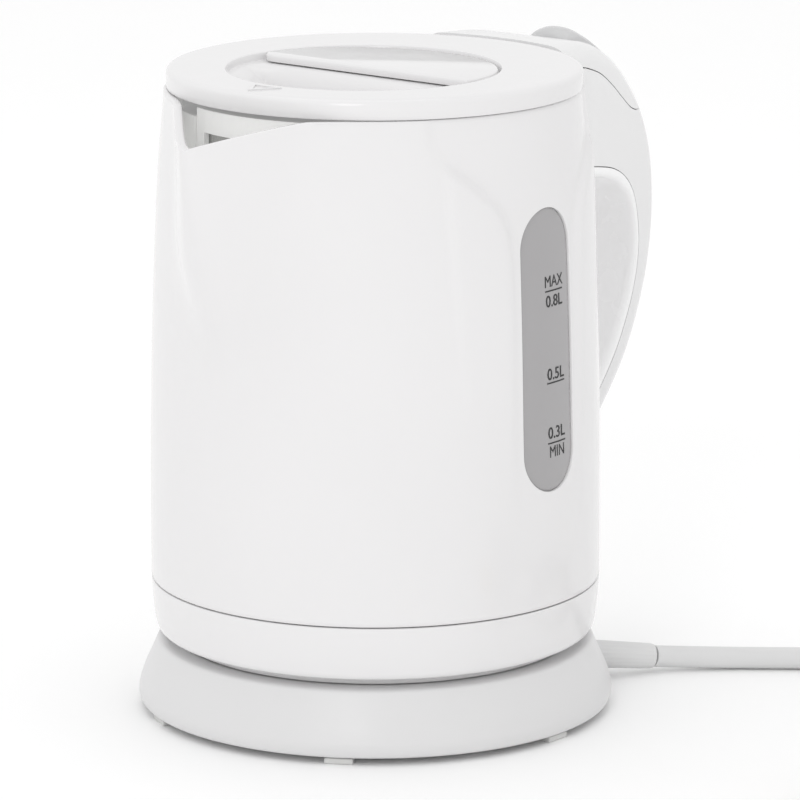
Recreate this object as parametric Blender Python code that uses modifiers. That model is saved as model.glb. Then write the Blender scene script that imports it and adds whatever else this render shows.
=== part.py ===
"""A small cordless electric kettle of 0.8 litre with its round 360 degree power base.

Metres, +Z up. The spout points along -X, the handle along +X and the water window faces -Y.
Every place is measured from the kettle's own upright axis, which stands at x = AXIS_X so that
the middle of the kettle and its base lies over the origin. A turned outline is a row of
(radius, height) points that runs down the outer side and back up the inner side.
"""

import math

import bmesh
import bpy
from mathutils import Matrix, Vector

# Driving dimensions
AXIS_X = -0.0170
GAP = 0.0003
WALL = 0.0022
FOOT_HEIGHT = 0.0017
FOOT_COUNT = 6
FOOT_CIRCLE = 0.0618
SEAM_LOW = 0.0381
SEAM_LID = 0.1778
LID_TOP = 0.1836
LID_RADIUS = 0.0582
LID_WALL = 0.0020
LID_CUT_X = -0.0375
SPOUT_TIP_DROP = 0.0068
SPOUT_HALF_ANGLE = math.radians(41)
SPOUT_MOUTH_ANGLE = math.radians(26.7)
WINDOW_LOW = 0.0712
WINDOW_HIGH = 0.1502
WINDOW_HALF_WIDTH = 0.0112
RECESS_X = -0.0050
RECESS_RADIUS = 0.0386
RECESS_DEPTH = 0.0020
RECESS_WALL = 0.0008
SCOOP_DEPTH = 0.0074
GRIP_EDGE_X = -0.0065
GRIP_CORNER = 0.0060
GRIP_RISE = 0.0004
GRIP_SLOPE = 0.0250
GRIP_THICKNESS = 0.0030
FILTER_HALF_ANGLE = math.radians(22)
CORD_RADIUS = 0.0032
CORD_RUN_ANGLE = math.radians(-51.3)
CORD_EXIT_ANGLE = math.radians(-31.3)
COIL_RADIUS = 0.0384
COIL_ALONG = 0.1750
COIL_ACROSS = -0.0106
TAIL_ANGLE = math.radians(-40)
PLUG_RADIUS = 0.0180
SWITCH_PIVOT = Vector((0.0890, 0, 0.1745))
CONTACT_PIVOT = Vector((0.0745, 0, 0.1699))

# Outer radius of the jug's round wall at each height
JUG_WALL = (
    (0.0381, 0.0636),
    (0.0528, 0.0637),
    (0.0782, 0.0635),
    (0.1036, 0.0630),
    (0.1290, 0.0621),
    (0.1544, 0.0608),
    (0.1680, 0.0596),
    (0.1778, 0.0584),
)
# How far the spout's keel stands from the axis at each height
SPOUT_KEEL = (
    (0.0980, 0.0590),
    (0.1107, 0.0645),
    (0.1255, 0.0705),
    (0.1401, 0.0754),
    (0.1571, 0.0793),
    (0.1655, 0.0808),
    (0.1711, 0.0816),
    (0.1778, 0.0822),
)
# The handle's side view: outer line, inner line (x, z) and half the width
HANDLE = (
    ((0.0550, 0.1839), (0.0550, 0.1470), 0.0265),
    ((0.0680, 0.1834), (0.0680, 0.1445), 0.0235),
    ((0.0790, 0.1812), (0.0780, 0.1427), 0.0205),
    ((0.0890, 0.1769), (0.0868, 0.1408), 0.0182),
    ((0.0979, 0.1705), (0.0938, 0.1380), 0.0165),
    ((0.1064, 0.1613), (0.0990, 0.1340), 0.0153),
    ((0.1122, 0.1503), (0.1020, 0.1290), 0.0146),
    ((0.1151, 0.1380), (0.1036, 0.1220), 0.0142),
    ((0.1159, 0.1250), (0.1036, 0.1148), 0.0140),
    ((0.1148, 0.1110), (0.1020, 0.1065), 0.0136),
    ((0.1112, 0.0970), (0.0986, 0.0972), 0.0131),
    ((0.1054, 0.0838), (0.0936, 0.0872), 0.0125),
    ((0.0976, 0.0715), (0.0868, 0.0768), 0.0115),
    ((0.0882, 0.0605), (0.0788, 0.0668), 0.0110),
    ((0.0770, 0.0505), (0.0698, 0.0580), 0.0106),
    ((0.0570, 0.0380), (0.0550, 0.0490), 0.0102),
)
# The line where the handle's top cover meets the handle shell, (x, z)
TOP_SEAM = (
    (0.0500, 0.1784),
    (0.0600, 0.1777),
    (0.0650, 0.1770),
    (0.0695, 0.1759),
    (0.0778, 0.1732),
    (0.0862, 0.1686),
    (0.0935, 0.1636),
    (0.0990, 0.1600),
    (0.1035, 0.1590),
    (0.1078, 0.1606),
    (0.1115, 0.1640),
)
# The switch rocker's side outline, (x, z)
ROCKER = (
    (0.0784, 0.1808),
    (0.0798, 0.1826),
    (0.0816, 0.1838),
    (0.0836, 0.1842),
    (0.0858, 0.1838),
    (0.0900, 0.1815),
    (0.0950, 0.1776),
    (0.0990, 0.1738),
    (0.0997, 0.1727),
    (0.0989, 0.1717),
    (0.0930, 0.1720),
    (0.0890, 0.1716),
    (0.0850, 0.1722),
    (0.0792, 0.1772),
)
ROCKER_TOP = 0.1842


def smooth_step(value):
    t = min(max(value, 0.0), 1.0)
    return t * t * (3 - 2 * t)


def read_line(points, at):
    """The value at `at` on the line through (at, value) points."""
    for (a, low), (b, high) in zip(points, points[1:]):
        if at <= b:
            return low + (high - low) * max(0.0, (at - a) / (b - a))
    return points[-1][1]


def clear_scene():
    for obj in list(bpy.data.objects):
        bpy.data.objects.remove(obj, do_unlink=True)


def new_collection(name):
    collection = bpy.data.collections.new(name)
    bpy.context.scene.collection.children.link(collection)
    return collection


def new_material(name, colour, roughness, metallic=0.0, alpha=1.0):
    material = bpy.data.materials.new(name)
    material.use_nodes = True
    shader = material.node_tree.nodes["Principled BSDF"]
    shader.inputs["Base Color"].default_value = (*colour, 1.0)
    shader.inputs["Roughness"].default_value = roughness
    shader.inputs["Metallic"].default_value = metallic
    shader.inputs["Alpha"].default_value = alpha
    material.diffuse_color = (*colour, alpha)
    return material


clear_scene()
PARTS = new_collection("electric_kettle")
CUTTERS = new_collection("cutters")
CUTTERS.hide_render = True

GLOSS_WHITE = new_material("gloss_white_plastic", (0.86, 0.86, 0.87), 0.18)
BASE_WHITE = new_material("satin_white_plastic", (0.78, 0.78, 0.79), 0.35)
HANDLE_WHITE = new_material("handle_white_plastic", (0.84, 0.84, 0.85), 0.22)
INNER_WHITE = new_material("plain_white_plastic", (0.80, 0.80, 0.79), 0.45)
WINDOW_GREY = new_material("clear_grey_plastic", (0.52, 0.52, 0.54), 0.12, alpha=0.6)
LEVER_GREY = new_material("smoky_grey_plastic", (0.58, 0.58, 0.60), 0.20, alpha=0.8)
STEEL = new_material("stainless_steel", (0.62, 0.62, 0.62), 0.28, 1.0)
ALUMINIUM = new_material("cast_aluminium", (0.66, 0.66, 0.66), 0.45, 1.0)
BRASS = new_material("brass", (0.78, 0.60, 0.28), 0.30, 1.0)
CONTROL_BLACK = new_material("black_nylon", (0.05, 0.05, 0.05), 0.50)
SEAL_GREY = new_material("silicone_seal", (0.55, 0.56, 0.56), 0.60)
FOOT_GREY = new_material("rubber_foot", (0.70, 0.70, 0.70), 0.75)
CORD_WHITE = new_material("cord_sheath", (0.80, 0.80, 0.80), 0.50)


def new_empty(name, location, parent=None):
    empty = bpy.data.objects.new(name, None)
    PARTS.objects.link(empty)
    empty.location = location
    empty.parent = parent
    return empty


def from_axis(parent):
    """Where a joint's empty stands, measured from the kettle's axis."""
    place = Vector((0, 0, 0))
    while parent and parent is not KETTLE:
        place += parent.location
        parent = parent.parent
    return place


def add_object(name, mesh, material, parent, collection=None, at=(0, 0, 0)):
    obj = bpy.data.objects.new(name, mesh)
    (collection or PARTS).objects.link(obj)
    obj.parent = parent
    obj.location = Vector(at) - from_axis(parent)
    if material:
        mesh.materials.append(material)
    return obj


def finish_mesh(name, bm, sharp_degrees=35):
    bmesh.ops.recalc_face_normals(bm, faces=bm.faces)
    mesh = bpy.data.meshes.new(name)
    bm.to_mesh(mesh)
    bm.free()
    mesh.shade_smooth()
    mesh.set_sharp_from_angle(angle=math.radians(sharp_degrees))
    return mesh


def turned(name, outline, material, parent, steps=56, at=(0, 0, 0), turn=None, collection=None):
    """A turned piece: its outline is closed round a hole, or open from axis to axis."""
    count = len(outline)
    closed = outline[0][0] > 0
    edges = [(i, (i + 1) % count) for i in range(count if closed else count - 1)]
    mesh = bpy.data.meshes.new(name)
    mesh.from_pydata([(radius, 0, height) for radius, height in outline], edges, [])
    obj = add_object(name, mesh, material, parent, collection, at)
    if turn:
        obj.rotation_euler = turn.to_euler()
    screw = obj.modifiers.new("turn", "SCREW")
    screw.steps = screw.render_steps = steps
    screw.use_merge_vertices = True
    screw.merge_threshold = 0.00001
    screw.use_smooth_shade = True
    return obj


def block(name, low, high, material, parent, bevel=0.0006, at=(0, 0, 0), collection=None):
    """A box between two corners with rounded edges."""
    bm = bmesh.new()
    bmesh.ops.create_cube(bm, size=1)
    low, high = Vector(low), Vector(high)
    bmesh.ops.scale(bm, vec=high - low, verts=bm.verts)
    bmesh.ops.translate(bm, vec=(low + high) / 2, verts=bm.verts)
    obj = add_object(name, finish_mesh(name, bm, 60), material, parent, collection, at)
    if bevel:
        rounding = obj.modifiers.new("rounding", "BEVEL")
        rounding.width = bevel
        rounding.segments = 2
        rounding.limit_method = "NONE"
    return obj


def lofted(name, sections, material, parent, collection=None):
    """A closed solid through closed sections with equal point counts, capped at both ends."""
    bm = bmesh.new()
    rings = [[bm.verts.new(point) for point in section] for section in sections]
    count = len(rings[0])
    for one, two in zip(rings, rings[1:]):
        for i in range(count):
            j = (i + 1) % count
            bm.faces.new((one[i], one[j], two[j], two[i]))
    bm.faces.new(rings[0][::-1])
    bm.faces.new(rings[-1])
    return add_object(name, finish_mesh(name, bm), material, parent, collection)


def prism(name, outline, depth, material, parent, collection=None):
    """A flat outline in the XZ plane, carried from y = depth[0] to y = depth[1]."""
    sections = [[Vector((x, y, z)) for x, z in outline] for y in depth]
    return lofted(name, sections, material, parent, collection)


def skin(name, rows, thickness, material, parent):
    """A shell inside the surface through rows of points, each row closed on itself."""
    bm = bmesh.new()
    rings = [[bm.verts.new(point) for point in row] for row in rows]
    count = len(rings[0])
    for one, two in zip(rings, rings[1:]):
        for i in range(count):
            j = (i + 1) % count
            bm.faces.new((one[i], one[j], two[j], two[i]))
    obj = add_object(name, finish_mesh(name, bm), material, parent)
    wall = obj.modifiers.new("wall", "SOLIDIFY")
    wall.thickness = thickness
    wall.offset = -1
    wall.use_even_offset = True
    return obj


def tube(name, points, radius, material, parent, resolution=2):
    """A round wire or cord along a poly line."""
    curve = bpy.data.curves.new(name, "CURVE")
    curve.dimensions = "3D"
    curve.bevel_depth = radius
    curve.bevel_resolution = resolution
    curve.use_fill_caps = True
    spline = curve.splines.new("POLY")
    spline.points.add(len(points) - 1)
    for target, point in zip(spline.points, points):
        target.co = (*point, 1.0)
    curve.materials.append(material)
    obj = bpy.data.objects.new(name, curve)
    PARTS.objects.link(obj)
    obj.parent = parent
    obj.location = -from_axis(parent)
    return obj


def cut(obj, cutter, operation="DIFFERENCE"):
    modifier = obj.modifiers.new(cutter.name, "BOOLEAN")
    modifier.operation = operation
    modifier.solver = "EXACT"
    modifier.object = cutter
    cutter.hide_render = True
    cutter.display_type = "WIRE"


def smooth_route(points, spacing):
    """Points about `spacing` apart on a smooth curve through the route's own points."""
    ends = (2 * points[0] - points[1], 2 * points[-1] - points[-2])
    padded = [ends[0], *points, ends[1]]
    route = [points[0]]
    for a, b, c, d in zip(padded, padded[1:], padded[2:], padded[3:]):
        pieces = max(1, round((c - b).length / spacing))
        for i in range(1, pieces + 1):
            t = i / pieces
            bend = (2 * a - 5 * b + 4 * c - d) * t * t + (3 * b - a - 3 * c + d) * t**3
            route.append((2 * b + (c - a) * t + bend) / 2)
    return route


def round_point(angle, radius, height):
    return Vector((radius * math.cos(angle), radius * math.sin(angle), height))


def along_x(x, z):
    """The placing that lays a turned piece on its side, pointing along +X."""
    return {"at": (x, 0, z), "turn": Matrix.Rotation(math.pi / 2, 3, "Y")}


KETTLE = new_empty("kettle_axis", (AXIS_X, 0, 0))
JUG = new_empty("jug_turn_axis", (0, 0, 0.0205), KETTLE)
LID = new_empty("lid_lift_axis", (0, 0, SEAM_LID - 0.0205), JUG)
FILTER = new_empty("filter_slide_axis", (-0.0540, 0, 0.1200), JUG)
SWITCH = new_empty("switch_pivot", SWITCH_PIVOT - JUG.location, JUG)
CONTACT = new_empty("contact_pivot", CONTACT_PIVOT - JUG.location, JUG)


# ---------------------------------------------------------------- power base


def build_base():
    outer = (
        (0.0602, 0.0202),
        (0.0616, 0.0197),
        (0.0624, 0.0182),
        (0.0633, 0.0162),
        (0.0646, 0.0133),
        (0.0660, 0.0102),
        (0.0670, 0.0072),
        (0.0674, 0.0046),
        (0.0670, 0.0029),
        (0.0660, 0.0020),
        (0.0644, 0.0020),
    )
    inner = (
        (0.0649, 0.0046),
        (0.0646, 0.0070),
        (0.0636, 0.0098),
        (0.0622, 0.0128),
        (0.0609, 0.0158),
        (0.0599, 0.0178),
        (0.0494, 0.0178),
        (0.0482, 0.0146),
        (0.0190, 0.0146),
        (0.0190, 0.0104),
        (0.0164, 0.0104),
        (0.0164, 0.0184),
        (0.0205, 0.0184),
        (0.0220, 0.0166),
        (0.0476, 0.0166),
        (0.0492, 0.0202),
    )
    shell = turned("base_shell", outer + inner, BASE_WHITE, KETTLE)
    start, axis = cord_sleeve_line()
    mouth = turned(
        "cord_mouth_cutter",
        ((0, 0.0400), (0.0047, 0.0400), (0.0047, -0.0030), (0, -0.0030)),
        None,
        KETTLE,
        steps=20,
        at=start,
        turn=axis.to_track_quat("Z", "Y").to_matrix(),
        collection=CUTTERS,
    )
    cut(shell, mouth)
    turned(
        "base_plate",
        (
            (0, 0.0072),
            (0.0140, 0.0072),
            (0.0140, 0.0044),
            (0.0480, 0.0044),
            (0.0480, 0.0032),
            (0.0632, 0.0032),
            (0.0638, 0.0026),
            (0.0638, 0.0020),
            (0, 0.0020),
        ),
        INNER_WHITE,
        KETTLE,
    )


def build_feet_and_screws():
    for i in range(FOOT_COUNT):
        angle = math.radians(30) + i * math.tau / FOOT_COUNT
        foot = block(
            f"foot_{i + 1}",
            (-0.0038, -0.0040, 0),
            (0.0038, 0.0040, FOOT_HEIGHT),
            FOOT_GREY,
            KETTLE,
            bevel=0.0004,
            at=round_point(angle, FOOT_CIRCLE, 0),
        )
        foot.rotation_euler.z = angle
    head = ((0, 0.0017), (0.0022, 0.0017), (0.0030, 0.0011), (0.0030, 0.0008), (0, 0.0008))
    for i in range(3):
        angle = i * math.tau / 3
        place = round_point(angle, 0.0420, 0)
        turned(f"base_screw_{i + 1}", head, STEEL, KETTLE, steps=14, at=place)


def build_socket():
    """The round socket on the base: a centre hole and two ring grooves with their contacts."""
    turned(
        "base_socket",
        (
            (0, 0.0140),
            (0.0032, 0.0140),
            (0.0032, 0.0330),
            (0.0064, 0.0330),
            (0.0064, 0.0170),
            (0.0086, 0.0170),
            (0.0086, 0.0330),
            (0.0114, 0.0330),
            (0.0114, 0.0170),
            (0.0136, 0.0170),
            (0.0136, 0.0330),
            (0.0152, 0.0330),
            (0.0160, 0.0322),
            (0.0160, 0.0100),
            (0.0185, 0.0100),
            (0.0185, 0.0075),
            (0, 0.0075),
        ),
        CONTROL_BLACK,
        KETTLE,
        steps=40,
    )
    contacts = (
        ("socket_earth_contact", 0.0025, 0.0029, 0.0143, 0.0240),
        ("socket_inner_contact", 0.0067, 0.0070, 0.0173, 0.0290),
        ("socket_outer_contact", 0.0130, 0.0133, 0.0173, 0.0290),
    )
    for name, inside, outside, low, high in contacts:
        ring = ((outside, high), (outside, low), (inside, low), (inside, high))
        turned(name, ring, BRASS, KETTLE, steps=40)


def build_jug_connector():
    """The round connector under the jug, which lets the jug stand at any angle on its base."""
    turned(
        "jug_connector",
        (
            (0, 0.0400),
            (0.0150, 0.0400),
            (0.0150, 0.0385),
            (0.0215, 0.0385),
            (0.0215, 0.0360),
            (0.0192, 0.0350),
            (0.0192, 0.0240),
            (0.0173, 0.0240),
            (0.0173, 0.0350),
            (0, 0.0350),
        ),
        CONTROL_BLACK,
        KETTLE,
        steps=40,
    )
    pin = ((0, 0.0347), (0.0022, 0.0347), (0.0022, 0.0170), (0.0012, 0.0155), (0, 0.0155))
    turned("earth_pin", pin, BRASS, KETTLE, steps=20)
    for name, inside, outside in (
        ("inner_ring_contact", 0.0073, 0.0083),
        ("outer_ring_contact", 0.0117, 0.0127),
    ):
        ring = ((outside, 0.0347), (outside, 0.0190), (inside, 0.0190), (inside, 0.0347))
        turned(name, ring, BRASS, KETTLE, steps=40)


# ---------------------------------------------------------------- mains cord


def on_table(along, across, height):
    """A point of the cord: along its run over the table, across it, and up."""
    run = round_point(CORD_RUN_ANGLE, along, height)
    return run + round_point(CORD_RUN_ANGLE + math.pi / 2, across, 0)


def cord_sleeve_line():
    """Where the cord's sleeve starts inside the base, and the way it runs out and down."""
    start = round_point(CORD_EXIT_ANGLE, 0.0575, 0.0085)
    return start, round_point(CORD_EXIT_ANGLE, 0.0855, 0.0048) - start


def build_cord():
    start, axis = cord_sleeve_line()
    turned(
        "cord_sleeve",
        (
            (0, axis.length),
            (0.0035, axis.length),
            (0.0037, axis.length * 0.97),
            (0.0041, axis.length * 0.35),
            (0.0043, axis.length * 0.10),
            (0.0043, 0.0),
            (0, 0.0),
        ),
        CORD_WHITE,
        KETTLE,
        steps=20,
        at=start,
        turn=axis.to_track_quat("Z", "Y").to_matrix(),
    )
    low = CORD_RADIUS + 0.0001
    route = [
        start + axis * (1 + GAP / axis.length),
        start + axis * (1 + 0.0040 / axis.length),
        on_table(0.0980, 0.0320, 0.0036),
        on_table(0.1080, 0.0326, low),
        on_table(0.1250, 0.0322, low),
        on_table(0.1400, 0.0314, low),
        on_table(0.1512, 0.0310, low),
    ]
    tube("mains_cord", smooth_route(route, 0.0100), CORD_RADIUS, CORD_WHITE, KETTLE)


def build_coil_and_plug():
    """The wound rest of the cord: two turns on the table, one over them, and the plug."""
    outside = COIL_RADIUS + 2 * CORD_RADIUS
    inside = COIL_RADIUS - 2 * CORD_RADIUS
    middle = on_table(COIL_ALONG, COIL_ACROSS, 0)
    turned(
        "cord_coil",
        (
            (COIL_RADIUS + 0.0020, 0.0121),
            (COIL_RADIUS + 0.0036, 0.0098),
            (outside - 0.0008, 0.0056),
            (outside, 0.0036),
            (outside - 0.0016, 0.0001),
            (inside + 0.0016, 0.0001),
            (inside, 0.0036),
            (inside + 0.0008, 0.0056),
            (COIL_RADIUS - 0.0036, 0.0098),
            (COIL_RADIUS - 0.0020, 0.0121),
        ),
        CORD_WHITE,
        KETTLE,
        steps=40,
        at=middle,
    )
    leaving = CORD_RUN_ANGLE + TAIL_ANGLE
    off_coil = middle + round_point(leaving, COIL_RADIUS, 0)
    heading = round_point(leaving - math.pi / 2, 1, 0)
    axis_height = PLUG_RADIUS + 0.0001
    tail = [
        off_coil + heading * 0.0220 + Vector((0, 0, 0.0132)),
        off_coil + heading * 0.0280 + Vector((0, 0, 0.0157)),
        off_coil + heading * 0.0340 + Vector((0, 0, 0.0175)),
        off_coil + heading * 0.0400 + Vector((0, 0, axis_height)),
        off_coil + heading * 0.0440 + Vector((0, 0, axis_height)),
    ]
    tube("cord_tail", smooth_route(tail, 0.0060), CORD_RADIUS, CORD_WHITE, KETTLE)
    start = off_coil + heading * (0.0440 + GAP) + Vector((0, 0, axis_height))
    turn = heading.to_track_quat("Z", "Y").to_matrix()
    turned(
        "plug_body",
        (
            (0, 0.0560),
            (0.0150, 0.0560),
            (0.0164, 0.0548),
            (PLUG_RADIUS, 0.0546),
            (PLUG_RADIUS, 0.0440),
            (0.0168, 0.0425),
            (0.0128, 0.0360),
            (0.0108, 0.0270),
            (0.0092, 0.0210),
            (0.0054, 0.0190),
            (0.0038, 0.0),
            (0, 0.0),
        ),
        CORD_WHITE,
        KETTLE,
        steps=28,
        at=start,
        turn=turn,
    )
    pin = ((0, 0.0190), (0.0016, 0.0190), (0.0024, 0.0180), (0.0024, 0.0), (0, 0.0))
    sideways = heading.cross(Vector((0, 0, 1)))
    for i, side in enumerate((-0.0095, 0.0095)):
        place = start + heading * (0.0560 + GAP) + sideways * side
        turned(f"plug_pin_{i + 1}", pin, BRASS, KETTLE, steps=16, at=place, turn=turn)


# ---------------------------------------------------------------- jug


def spout_share(angle):
    """0 at the spout's tip, 1 where its rim meets the round wall."""
    away = abs(angle)
    full = math.sin(SPOUT_MOUTH_ANGLE) / math.sin(SPOUT_MOUTH_ANGLE + SPOUT_HALF_ANGLE)
    return math.sin(away) / math.sin(away + SPOUT_HALF_ANGLE) / full


def rim_height(angle):
    """The jug's top edge, which dips into the spout."""
    if abs(angle) > SPOUT_MOUTH_ANGLE:
        return SEAM_LID
    share = min(spout_share(angle) / 0.85, 1.0)
    return SEAM_LID - SPOUT_TIP_DROP * (1 - share) ** 1.15


def jug_radius(angle, height):
    """The jug's outer radius at an angle from the spout: its round wall or the spout's beak."""
    wall = read_line(JUG_WALL, height)
    away = abs(angle)
    if height < SPOUT_KEEL[0][0] or away > math.radians(80):
        return wall
    blunt = math.radians(2.5 + 9.5 * (1 - smooth_step((height - 0.105) / 0.055)))
    keel = read_line(SPOUT_KEEL, height)
    nose = keel * math.sin(SPOUT_HALF_ANGLE + blunt)
    beak = nose / math.sin(SPOUT_HALF_ANGLE + math.hypot(away, blunt))
    softness = 0.0022
    blend = (wall + beak + math.hypot(wall - beak, softness)) / 2
    return blend if beak > wall - 0.012 else wall


def build_jug_body():
    near = (0, 2, 4, 6.5, 9.5, 13, 17, 21, 25, 29, 34, 40)
    far = tuple(range(47, 180, 7))
    half = [math.radians(a) for a in near + far]
    angles = half + [math.pi] + [-a for a in reversed(half[1:])]
    low = SEAM_LOW + GAP
    heights = (0, 14, 27, 40, 52, 62, 70, 78, 86, 94, 102, 110, 118, 126, 132.7, 139.4)
    rows = []
    for step in reversed(heights):
        row = []
        for angle in angles:
            height = low + step / heights[-1] * (rim_height(angle) - low)
            row.append(round_point(math.pi + angle, jug_radius(angle, height), height))
        rows.append(row)
    body = skin("jug_body", rows, WALL, GLOSS_WHITE, JUG)
    cut(body, window_prism("window_slot_cutter", GAP))
    for name, radius, height in (
        ("steam_hole_cutter", 0.0033, 0.1650),
        ("wire_hole_cutter", 0.0030, 0.0500),
    ):
        rod = ((0, 0.0300), (radius, 0.0300), (radius, 0.0), (0, 0.0))
        cutter = turned(
            name, rod, None, JUG, steps=16, collection=CUTTERS, **along_x(0.0480, height)
        )
        cut(body, cutter)


def window_prism(name, extra):
    """The water window's outline, round at both ends, grown by `extra`."""
    radius = WINDOW_HALF_WIDTH + extra
    outline = []
    for middle, start in (
        (WINDOW_HIGH - WINDOW_HALF_WIDTH, 0),
        (WINDOW_LOW + WINDOW_HALF_WIDTH, math.pi),
    ):
        for i in range(9):
            angle = start + i * math.pi / 8
            outline.append((radius * math.cos(angle), middle + radius * math.sin(angle)))
    return prism(name, outline, (-0.0800, -0.0400), None, JUG, CUTTERS)


def build_window():
    sunk, thick = 0.0006, 0.0018
    heights = (0.1600, 0.1290, 0.1036, 0.0782, 0.0600)
    outside = [(read_line(JUG_WALL, z) - sunk, z) for z in heights]
    inside = [(radius - thick, z) for radius, z in reversed(outside)]
    pane = turned("water_window", outside + inside, WINDOW_GREY, JUG, steps=80)
    cut(pane, window_prism("window_pane_cutter", 0.0), "INTERSECT")


def build_jug_bottom():
    turned(
        "bottom_cover",
        (
            (0.0636, SEAM_LOW),
            (0.0633, 0.0325),
            (0.0628, 0.0272),
            (0.0622, 0.0243),
            (0.0612, 0.0229),
            (0.0600, 0.0226),
            (0.0570, 0.0226),
            (0.0562, 0.0205),
            (0.0512, 0.0205),
            (0.0504, 0.0226),
            (0.0224, 0.0226),
            (0.0224, 0.0340),
            (0.0244, 0.0340),
            (0.0244, 0.0248),
            (0.0590, 0.0248),
            (0.0604, 0.0262),
            (0.0611, 0.0325),
            (0.0612, SEAM_LOW),
        ),
        GLOSS_WHITE,
        JUG,
    )
    turned(
        "heating_plate",
        (
            (0, 0.0602),
            (0.0540, 0.0602),
            (0.0560, 0.0616),
            (0.0588, 0.0616),
            (0.0588, 0.0605),
            (0.0565, 0.0603),
            (0.0545, 0.0590),
            (0, 0.0590),
        ),
        STEEL,
        JUG,
    )
    seal = ((0.0610, 0.0630), (0.0610, 0.0590), (0.0591, 0.0590), (0.0591, 0.0630))
    turned("plate_seal", seal, SEAL_GREY, JUG)
    clamp = ((0.0610, 0.0587), (0.0610, 0.0570), (0.0552, 0.0570), (0.0552, 0.0587))
    turned("plate_clamp_ring", clamp, STEEL, JUG)
    spreader = ((0, 0.0587), (0.0460, 0.0587), (0.0460, 0.0566), (0, 0.0566))
    turned("heat_spreader", spreader, ALUMINIUM, JUG)
    arc = [round_point(math.radians(-150 + 12.5 * i), 0.0380, 0.0527) for i in range(25)]
    tube("heating_element", arc, 0.0036, ALUMINIUM, JUG)
    disc = ((0, 0.0525), (0.0090, 0.0520), (0.0095, 0.0512), (0.0090, 0.0510), (0, 0.0516))
    turned("boil_dry_disc", disc, STEEL, JUG, steps=28)
    low, high = (-0.0150, -0.0170, 0.0412), (0.0150, 0.0170, 0.0500)
    block("thermostat_control", low, high, CONTROL_BLACK, JUG, bevel=0.0010)


def arc_plate(name, inside, outside, half_angle, low, high, material):
    """An upright curved plate facing the spout."""
    sections = []
    for i in range(11):
        angle = math.pi - half_angle + i * half_angle / 5
        corners = ((inside, low), (outside, low), (outside, high), (inside, high))
        sections.append([round_point(angle, radius, height) for radius, height in corners])
    return lofted(name, sections, material, FILTER)


def build_filter():
    frame = arc_plate(
        "filter_frame", 0.0540, 0.0558, FILTER_HALF_ANGLE, 0.1180, 0.1764, INNER_WHITE
    )
    for side, (left, right) in (("left", (0.0010, 0.0172)), ("right", (-0.0172, -0.0010))):
        low, high = (-0.0700, left, 0.1215), (-0.0400, right, 0.1700)
        hole = block(f"filter_{side}_cutter", low, high, None, FILTER, 0, collection=CUTTERS)
        cut(frame, hole)
    mesh_angle = math.radians(20)
    arc_plate("filter_mesh", 0.0532, 0.0536, mesh_angle, 0.1200, 0.1715, STEEL)


# ---------------------------------------------------------------- handle


def handle_frames():
    """For each station of the handle: its inner point, the way out, thickness and half width."""
    for (ox, oz), (ix, iz), half_width in HANDLE:
        inner = Vector((ix, 0, iz))
        across = Vector((ox, 0, oz)) - inner
        yield inner, across.normalized(), across.length, half_width


def corner(middle_t, middle_w, radius, start, count=4):
    """A quarter turn of (t, w) points from the angle `start`, clockwise."""
    points = []
    for i in range(count + 1):
        angle = start - i * math.pi / 2 / count
        point = middle_t + radius * math.sin(angle), middle_w + radius * math.cos(angle)
        points.append(point)
    return points


def shell_section(thickness, half_width):
    """A channel, open towards the jug, with round outer corners."""
    start = GRIP_THICKNESS + GAP
    radius = min(0.0068, (thickness - start) * 0.8)
    t, w = thickness - radius, half_width - radius
    outer = corner(t, -w, radius, math.pi) + corner(t, w, radius, math.pi / 2)
    inner = corner(t, -w, radius - WALL, math.pi) + corner(t, w, radius - WALL, math.pi / 2)
    face = half_width - WALL
    ends = [(start, half_width), (start, face)], [(start, -face), (start, -half_width)]
    return outer + ends[0] + inner[::-1] + ends[1]


def insert_section(half_width):
    """The flat strip that closes the channel, with round edges towards the jug."""
    radius = GRIP_THICKNESS * 0.8
    w = half_width - radius
    edges = corner(radius, w, radius, 0) + corner(radius, -w, radius, -math.pi / 2)
    return [(GRIP_THICKNESS, -half_width), (GRIP_THICKNESS, half_width)] + edges


def handle_loft(name, section_of, material, collection=None):
    sections = []
    for inner, out, thickness, half_width in handle_frames():
        flat = section_of(thickness, half_width)
        sections.append([inner + out * t + Vector((0, w, 0)) for t, w in flat])
    return lofted(name, sections, material, JUG, collection)


def jug_clearance():
    """The jug and lid grown by the gap, to trim what stands against them."""
    side = [(radius + GAP, height) for height, radius in reversed(JUG_WALL)]
    top = [(0, 0.2100), (LID_RADIUS + 0.0006, 0.2100), (LID_RADIUS + 0.0006, 0.1779)]
    bottom = [(JUG_WALL[0][1] + GAP, 0.0250), (0, 0.0250)]
    return turned(
        "jug_clearance_cutter", top + side + bottom, None, JUG, collection=CUTTERS
    )


def top_cover_region(name, drop):
    """Everything above the top cover's seam, lowered by `drop`."""
    seam = [(x, z - 1.3 * drop) for x, z in TOP_SEAM]
    outline = [(0.0500, 0.2000)] + seam + [(TOP_SEAM[-1][0], 0.2000)]
    return prism(name, outline, (-0.0500, 0.0500), None, JUG, CUTTERS)


def build_handle():
    trim = jug_clearance()
    shell = handle_loft("handle_shell", shell_section, HANDLE_WHITE)
    cut(shell, trim)
    cut(shell, top_cover_region("handle_shell_cutter", GAP))
    cover = handle_loft("handle_top_cover", shell_section, HANDLE_WHITE)
    cut(cover, trim)
    cut(cover, top_cover_region("handle_top_cutter", 0.0), "INTERSECT")
    low, high = (0.0764, -0.0079, 0.1500), (0.1012, 0.0079, 0.2000)
    slot = block("switch_slot_cutter", low, high, None, JUG, 0, collection=CUTTERS)
    cut(cover, slot)
    grip = handle_loft("handle_grip", lambda _, half_width: insert_section(half_width), HANDLE_WHITE)
    cut(grip, trim)


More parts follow.
